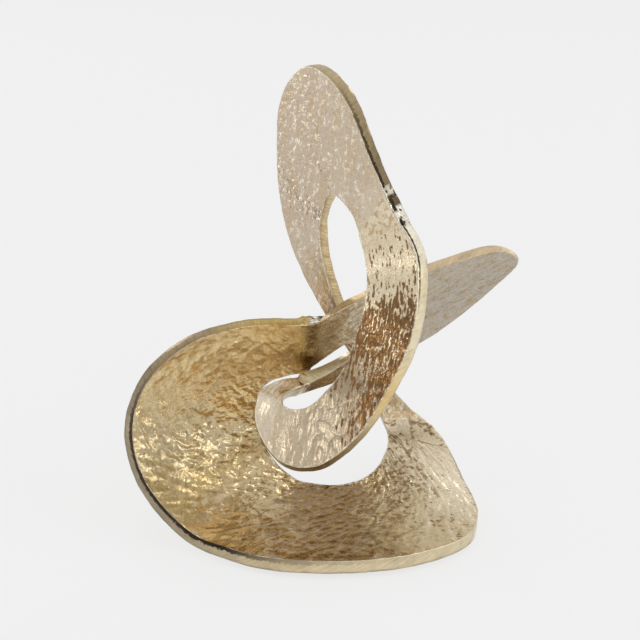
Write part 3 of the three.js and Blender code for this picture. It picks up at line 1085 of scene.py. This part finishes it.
PLATE_FINISH = {
    "smear_size": (26, 7),          # length and width, in millimetres, as for blots
    "inner_lacquer": all_along(0),  # more lacquer towards the left edge
    "level_blots": False,           # true where the blots lie level and don't follow the hammering
    "hollow_pull": 0.5,             # how well the hollows hold lacquer
    "wiped_crests": (0.05, 0.3),    # how deep a hollow keeps none of it, and how deep all of it
    "crisp": all_along(1),          # depth of the sharp marks
    "dented": all_along(1),         # depth of the soft ones
    "coat": 0,                      # clear gloss over the lacquer
    "crevice_shade": all_along(0),       # painted shade in the deep hollows of a wall
}
DISH_FINISH = {
    **PLATE_FINISH,
    # Partly painted reflection: the brown around the middle of the bowl stands in for the dark it mirrors
    "tones": [
        (0, (232, 196, 126)), (0.06, (248, 218, 160)), (0.2, (242, 217, 166)), (0.31, (200, 183, 146)),
        (0.38, (194, 170, 120)), (0.43, (212, 192, 152)), (0.48, (208, 186, 144)), (0.53, (180, 152, 106)),
        (0.58, (162, 130, 76)), (0.66, (154, 122, 66)), (0.74, (200, 178, 134)), (0.82, (216, 200, 167)),
        (0.92, (242, 229, 202)), (1, (233, 219, 191)),
    ],
    "smear": 0.2,
    "smear_tone": (186, 150, 90),
    "crest_glints": 0.2,
    "speckle": 0.24,
    "lacquer": [
        (0, 0.03), (0.1, 0.05), (0.3, 0.06), (0.44, 0.14), (0.5, 0.28), (0.56, 0.46), (0.66, 0.46),
        (0.74, 0.3), (0.82, 0.24), (1, 0.18),
    ],
    "inner_lacquer": [
        (0, 0.1), (0.14, 0.1), (0.24, 0.02), (0.4, 0), (0.53, 0.2), (0.7, 0.2), (0.8, 0.18), (1, 0.16),
    ],
    "blots": (3.6, 3.0),
    "level_blots": True,
    "hollow_pull": 0.35,
    "brown": [(0.36, (156, 123, 70)), (0.5, (136, 103, 56)), (0.64, (96, 68, 32))],
    "depth_of_stain": 0.78,
    "crisp": [(0, 1), (0.28, 1.1), (0.42, 1), (0.7, 1), (0.8, 0.85), (1, 0.8)],
    "metallic": 0.92,
    "satin": [(0, 0.38), (0.14, 0.38), (0.22, 0.28), (0.3, 0.18), (0.6, 0.27), (0.8, 0.33), (1, 0.36)],
    "left_wall": [(0, (160, 130, 78)), (0.6, (164, 136, 92)), (1, (196, 178, 144))],
    "right_wall": [
        (0, (213, 183, 108)), (0.07, (206, 177, 110)), (0.13, (164, 141, 103)), (0.25, (164, 147, 121)),
        (0.4, (180, 164, 136)), (0.55, (236, 216, 176)), (0.7, (248, 230, 192)), (0.85, (240, 224, 190)),
        (1, (222, 204, 168)),
    ],
    "left_line": all_along(0.3),
    "right_line": [(0, 0), (0.18, 0.1), (0.26, 0.9), (0.48, 1), (0.58, 0.3), (0.7, 0.1), (0.8, 0)],
    "line_width": 1.7,
    "line_shades": (0.62, 0.62),
    "wall_lines": 1900.0,
    "wall_satin": 0.24,
    "rim_highlight": 0.85,
    "creases": (6, 4, 0.06),
    "grain": 0.17,
}
UPRIGHT_FINISH = {
    **PLATE_FINISH,
    "tones": [
        (0, (232, 218, 190)), (0.1, (228, 213, 187)), (0.3, (210, 194, 174)), (0.9, (212, 195, 172)),
        (1, (226, 211, 184)),
    ],
    "smear": 0.28,
    "smear_tone": (206, 172, 122),
    "crest_glints": 0.9,
    "speckle": 0.18,
    "lacquer": [(0, 0.4), (0.1, 0.3), (0.3, 0), (1, 0)],
    "blots": (8, 4),
    "brown": [(0.35, (196, 164, 116)), (0.65, (170, 136, 88))],
    "depth_of_stain": 0.6,
    "crisp": [(0, 1), (0.2, 0.7), (0.4, 0.35), (0.54, 0.35), (0.66, 0.9), (1, 1)],
    "dented": [(0, 1), (0.2, 0.7), (0.4, 0.45), (0.54, 0.45), (0.66, 0.9), (1, 1)],
    "metallic": 0.88,
    "satin": [(0, 0.42), (0.1, 0.4), (0.22, 0.25), (0.5, 0.2), (1, 0.26)],
    "left_wall": [
        (0, (206, 188, 150)), (0.5, (212, 195, 164)), (0.7, (222, 204, 172)), (0.82, (190, 170, 132)),
        (0.92, (152, 134, 100)), (1, (142, 124, 92)),
    ],
    "right_wall": [(0, (222, 192, 136)), (0.5, (240, 214, 164)), (1, (226, 208, 172))],
    "left_line": [(0, 0.1), (0.82, 0.1), (0.9, 0.85), (1, 1)],
    "right_line": [(0, 0.2), (1, 0.1)],
    "line_width": 1.5,
    "line_shades": (0.74, 0.45),
    "wall_lines": 1500.0,
    "wall_satin": 0.22,
    "rim_highlight": 0.8,
    "creases": (6, 3, 0.06),
    "grain": 0.14,
}
LOOP_FINISH = {
    **PLATE_FINISH,
    "tones": [
        (0, (230, 214, 184)), (0.17, (234, 219, 189)), (0.26, (224, 204, 166)), (0.36, (192, 172, 141)),
        (0.45, (152, 136, 113)), (0.56, (192, 175, 149)), (0.74, (208, 192, 166)), (0.86, (230, 217, 194)),
        (1, (238, 227, 205)),
    ],
    "smear": 0.2,
    "smear_tone": (178, 150, 110),
    "crest_glints": 0.1,
    "speckle": 0.16,
    "lacquer": [
        (0, 0), (0.04, 0.12), (0.08, 0.18), (0.14, 0.2), (0.19, 0.28), (0.24, 0.55), (0.34, 0.54),
        (0.4, 0.34), (0.48, 0.18), (0.53, 0.08), (0.58, 0),
    ],
    "inner_lacquer": [(0, 0), (0.32, 0), (0.38, 0.16), (0.46, 0.3), (0.53, 0.18), (0.6, 0)],
    "blots": (3.6, 2),
    "wiped_crests": (0.25, 0.35),
    "brown": [(0.35, (142, 98, 46)), (0.65, (94, 62, 27))],
    "depth_of_stain": 0.94,
    "crisp": [(0, 0.2), (0.2, 0.22), (0.26, 0.85), (0.38, 1), (0.48, 0.4), (0.56, 0.1), (1, 0.1)],
    "dented": [(0, 0.1), (0.2, 0.12), (0.32, 0.5), (0.46, 0.8), (0.56, 1)],
    "metallic": 0.94,
    "coat": 0.3,
    "satin": [(0, 0.28), (0.2, 0.26), (0.3, 0.16), (0.5, 0.2), (1, 0.22)],
    # The near-white start of the left wall is a painted highlight
    "left_wall": [
        (0, (254, 246, 226)), (0.1, (252, 242, 216)), (0.16, (240, 224, 187)), (0.3, (250, 236, 202)),
        (0.45, (236, 204, 132)), (0.54, (214, 200, 174)), (0.8, (208, 196, 172)), (1, (216, 200, 168)),
    ],
    "right_wall": [(0, (206, 182, 134)), (1, (212, 196, 164))],
    "left_line": [(0, 1), (0.18, 0.9), (0.25, 0), (0.5, 0), (0.62, 0.4), (0.75, 0.1)],
    "right_line": all_along(0.2),
    "line_width": 0.8,
    "line_shades": (0.78, 0.78),
    "wall_lines": 2200.0,
    "wall_satin": 0.2,
    "rim_highlight": 0.7,
    "creases": (6, 2, 0.06),
    "grain": 0.12,
}
WING_FINISH = {
    **PLATE_FINISH,
    "tones": [
        # The dark start and end are painted shade: the lower arm's front face in shade, and the fold at the
        # dish
        (0, (142, 118, 86)), (0.14, (122, 99, 70)), (0.3, (198, 188, 174)), (0.55, (197, 188, 175)),
        (0.72, (200, 189, 170)), (0.84, (236, 224, 202)), (0.92, (222, 204, 170)), (1, (148, 120, 80)),
    ],
    "smear": 0.62,
    "smear_size": (9, 1.5),
    "smear_tone": (186, 162, 118),
    "crest_glints": 0.2,
    "speckle": 0.16,
    "lacquer": [(0, 0.1), (0.3, 0.08), (0.7, 0.08), (0.82, 0.16), (0.9, 0.36), (1, 0.36)],
    "blots": (6, 2.2),
    "brown": [(0.35, (192, 168, 124)), (0.65, (158, 126, 76))],
    "depth_of_stain": 0.6,
    "metallic": 0.86,
    "satin": [(0, 0.28), (0.5, 0.32), (1, 0.28)],
    "left_wall": [
        (0, (240, 226, 188)), (0.2, (232, 216, 178)), (0.4, (206, 186, 150)), (1, (190, 166, 120)),
    ],
    "right_wall": [
        (0, (240, 226, 188)), (0.2, (232, 216, 178)), (0.5, (226, 203, 166)), (0.75, (222, 197, 156)),
        (1, (196, 168, 116)),
    ],
    "left_line": [(0, 0.1), (1, 0.2)],
    "right_line": [(0, 0.1), (0.7, 0), (1, 0.4)],
    "line_width": 0.8,
    "line_shades": (0.68, 0.68),
    "wall_lines": 2400.0,
    "wall_satin": 0.28,
    "rim_highlight": 0.4,
    "creases": (8, 1.6, 0.06),
    "grain": 0.12,
}


def hammer_marks(dent, dimple, fold, crust, swell, edge, seed):
    """Mark sizes in millimetres: dent and fold (length, width, depth), the others (size or run, depth)."""
    values = [*dent, *dimple, *fold, *crust, *swell, *edge]
    return {**{size: value * MM for size, value in zip(HAMMER_SIZES, values)}, "Seed": seed}


hammered_plate(
    "dish", "dish_plate", steps=(590, 96, 44), ground=((10 * MM, 10 * MM), (11 * MM, 14 * MM)),
    sizes=hammer_marks(
        dent=(10, 7, 0.62), dimple=(2.6, 0.1), fold=(15, 6.5, 0.85), crust=(5.2, 0.38),
        swell=(26, 0.6), edge=(14, 0.35), seed=3),
    finish=DISH_FINISH)
hammered_plate(
    "upright", "upright_plate", steps=(590, 100, 40), ground=((10 * MM, 10 * MM), (14 * MM, 24 * MM)),
    sizes=hammer_marks(
        dent=(5, 3.6, 0.18), dimple=(2.8, 0.22), fold=(18, 8, 0.15), crust=(3, 0.16),
        swell=(26, 0.3), edge=(8, 0.6), seed=11),
    finish=UPRIGHT_FINISH, grain=(0.1, 0, 1), facing=(-0.6, -0.8, 0))
hammered_plate(
    "front_loop", "front_loop_plate", steps=(500, 64, 36), ground=((6 * MM, 24 * MM), (22 * MM, 22 * MM)),
    sizes=hammer_marks(
        dent=(6, 3.2, 0.52), dimple=(2.6, 0.08), fold=(9, 2.6, 0.48), crust=(2.8, 0.14),
        swell=(24, 0.3), edge=(12, 0.3), seed=23),
    finish=LOOP_FINISH, grain=(-0.22, 0, 1), facing=(-0.4, -0.9, 0))
hammered_plate(
    "wing", "wing_plate", steps=(500, 64, 36), ground=((10 * MM, 10 * MM), (5 * MM, 5 * MM)),
    sizes=hammer_marks(
        dent=(7, 2.6, 0.14), dimple=(2.4, 0.06), fold=(9, 2.8, 0.1), crust=(2.4, 0.08),
        swell=(30, 0.3), edge=(12, 0.3), seed=31),
    finish=WING_FINISH, grain=(0.87, 0.05, 0.45), facing=(0, -1, 0.1))


def weld_marks(crown, bead, ripple, lump, seed):
    """Weld sizes in millimetres: ripple (run, depth) and lump (size, depth)."""
    values = [crown, WELD_SINK, bead, *ripple, *lump]
    return {**{size: value * MM for size, value in zip(WELD_SIZES, values)}, "Seed": seed}


def weld_finish(
        before, tones, left_wall, right_wall, dark_line, lacquer=0.1, crevice_shade=all_along(0), satin=0.26):
    """The finish of a weld: that of the plate before it, ground smooth, with its own tones."""
    return {
        **before,
        "tones": tones, "left_wall": left_wall, "right_wall": right_wall,
        "lacquer": all_along(lacquer), "inner_lacquer": all_along(0), "blots": (4, 2.6),
        "left_line": dark_line, "right_line": dark_line, "crevice_shade": crevice_shade,
        "satin": all_along(satin), "wall_satin": 0.08,
    }


START, END = False, True
DISH, UPRIGHT = plates["dish_plate"], plates["upright_plate"]
LOOP, WING = plates["front_loop_plate"], plates["wing_plate"]
ground_weld(
    "dish_upright_weld", "weld_dish_upright", (DISH, END), (UPRIGHT, START), overlap=6 * MM,
    sizes=weld_marks(crown=0.3, bead=0.1, ripple=(5, 0.05), lump=(6, 0.9), seed=1),
    finish=weld_finish(
        DISH_FINISH,
        tones=all_along((230, 216, 188)),
        left_wall=[(0, (196, 178, 144)), (1, (206, 188, 150))],
        right_wall=[(0, (222, 204, 168)), (1, (218, 186, 128))],
        dark_line=all_along(0.2), lacquer=0.24, satin=0.38))
ground_weld(
    "upright_loop_weld", "weld_upright_loop", (UPRIGHT, END), (LOOP, START), overlap=7 * MM,
    sizes=weld_marks(crown=0.36, bead=0.7, ripple=(4, 0.1), lump=(3, 2.2), seed=2),
    finish=weld_finish(
        UPRIGHT_FINISH,
        tones=[(0, (226, 211, 184)), (0.5, (244, 230, 202)), (1, (230, 214, 184))],
        # Painted highlights and shade on the outer wall: dark, a light patch, dark again, then bright from
        # the middle on; the dark line under the face comes and goes with them
        left_wall=[
            (0, (142, 124, 92)), (0.06, (238, 228, 206)), (0.2, (238, 228, 206)), (0.24, (124, 108, 78)),
            (0.46, (114, 98, 70)), (0.52, (255, 248, 232)), (1, (254, 246, 226)),
        ],
        right_wall=[(0, (222, 204, 168)), (1, (206, 182, 134))],
        dark_line=[
            (0, 1), (0.06, 0.2), (0.2, 0.2), (0.26, 0.7), (0.48, 1), (0.58, 1),
            (0.64, 0), (0.74, 0), (0.8, 1),
        ],
        crevice_shade=all_along(0.9)))
ground_weld(
    "loop_wing_weld", "weld_loop_wing", (LOOP, END), (WING, START), overlap=5 * MM,
    sizes=weld_marks(crown=0.32, bead=0.1, ripple=(4, 0.04), lump=(5, 0.4), seed=3),
    finish=weld_finish(
        LOOP_FINISH,
        # Ends in the painted shade of the wing's lower arm
        tones=[(0, (226, 214, 190)), (1, (142, 118, 86))],
        left_wall=[(0, (216, 200, 168)), (1, (240, 226, 188))],
        right_wall=[(0, (212, 196, 164)), (1, (240, 226, 188))],
        dark_line=all_along(0.1)), quarter_turn=True)
ground_weld(
    "dish_wing_weld", "weld_dish_wing", (WING, END), (DISH, START), overlap=3 * MM,
    sizes=weld_marks(crown=0.36, bead=1.3, ripple=(3, 0.15), lump=(2.4, 3), seed=4),
    finish=weld_finish(
        WING_FINISH,
        # Painted shade in the fold between wing and dish, and a painted highlight along the bead on the
        # right wall
        tones=[(0, (148, 120, 80)), (0.35, (118, 90, 52)), (0.6, (138, 106, 60)), (1, (232, 196, 126))],
        left_wall=[(0, (190, 166, 120)), (1, (160, 130, 78))],
        right_wall=[
            (0, (224, 206, 168)), (0.1, (255, 250, 238)), (0.5, (255, 250, 238)), (0.62, (212, 184, 120)),
            (1, (212, 184, 120)),
        ],
        dark_line=[(0, 0.4), (1, 0.2)], crevice_shade=[(0, 0.4), (0.1, 1), (0.5, 1), (0.62, 0)]))
felt_pads()
